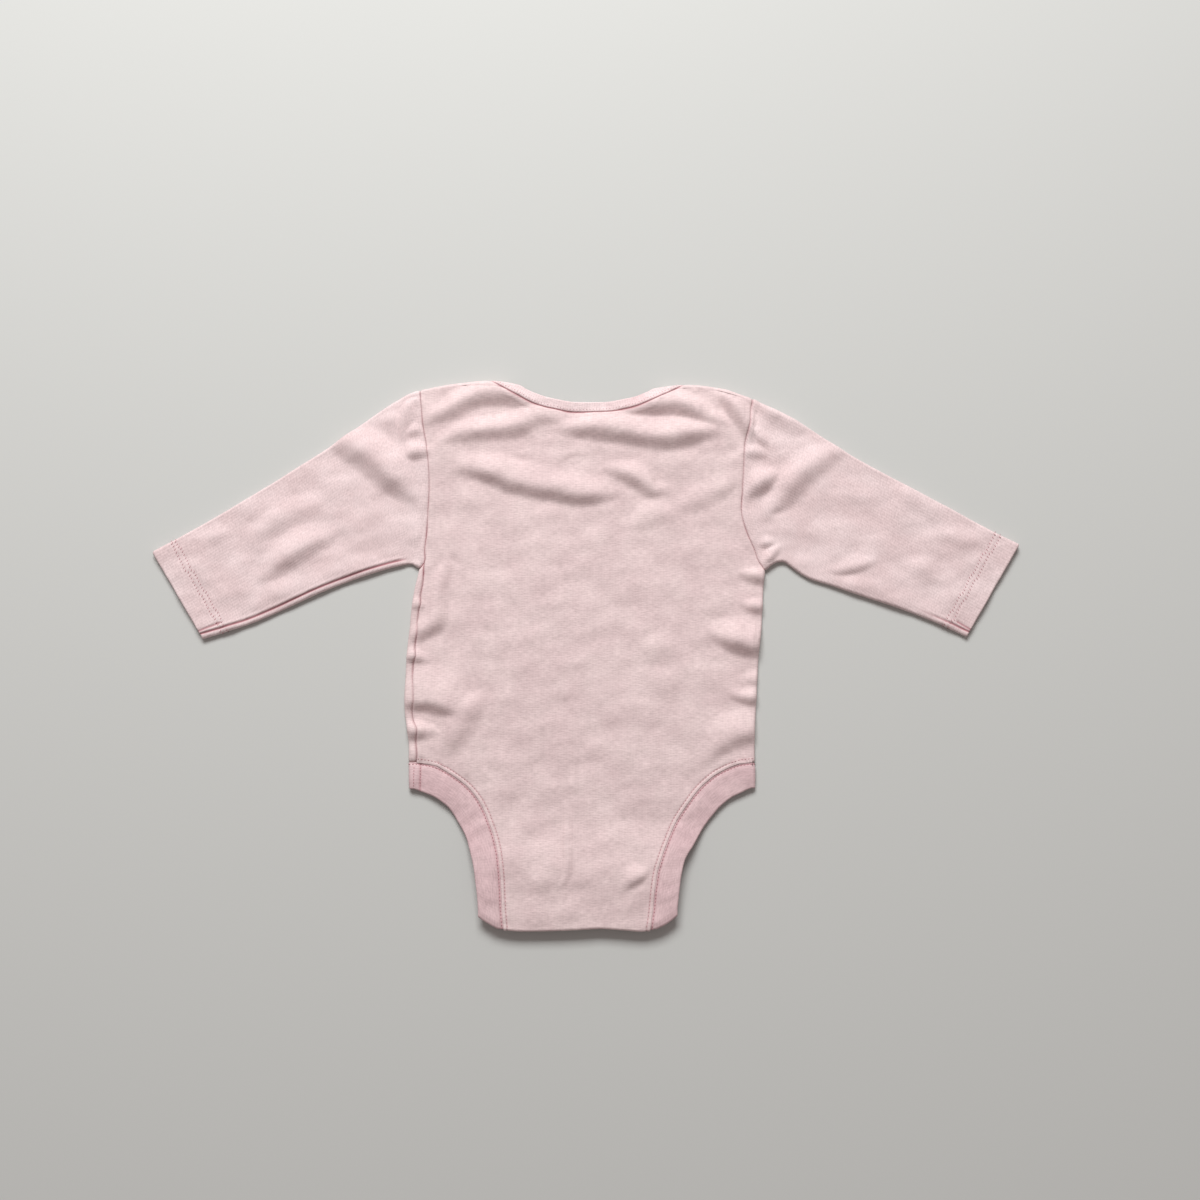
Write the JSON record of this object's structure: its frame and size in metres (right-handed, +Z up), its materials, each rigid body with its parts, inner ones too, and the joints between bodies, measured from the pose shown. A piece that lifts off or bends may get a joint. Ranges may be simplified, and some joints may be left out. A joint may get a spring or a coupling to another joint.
{
  "type": "baby bodysuit",
  "caption": "Long-sleeved knitted baby bodysuit with lapped shoulders and snaps at the crotch, laid flat on its front with the back up.",
  "frame": {"origin": "middle of the garment's outline in plan, on the surface it lies on", "axes": "+X across the garment to the right sleeve as seen from above, +Y from the crotch to the neck, +Z up from the surface"},
  "size_m": [0.5212, 0.3269, 0.0077],
  "materials": {
    "body_knit": "matt cotton rib",
    "sleeve_knit": "matt cotton rib",
    "neck_binding": "matt cotton rib",
    "leg_band": "matt cotton rib",
    "snap_metal": "plain pressed metal"
  },
  "bodies": {
    "root": {"back_panel": "body_knit", "front_panel": "body_knit", "sleeve_left": "sleeve_knit", "sleeve_right": "sleeve_knit", "back_neck_binding": "neck_binding", "front_neck_binding": "neck_binding", "leg_band_left": "leg_band", "leg_band_right": "leg_band", "snap_cap_1": "snap_metal", "snap_cap_2": "snap_metal", "snap_cap_3": "snap_metal", "snap_stud_1": "snap_metal", "snap_stud_2": "snap_metal", "snap_stud_3": "snap_metal"}
  },
  "joints": []
}
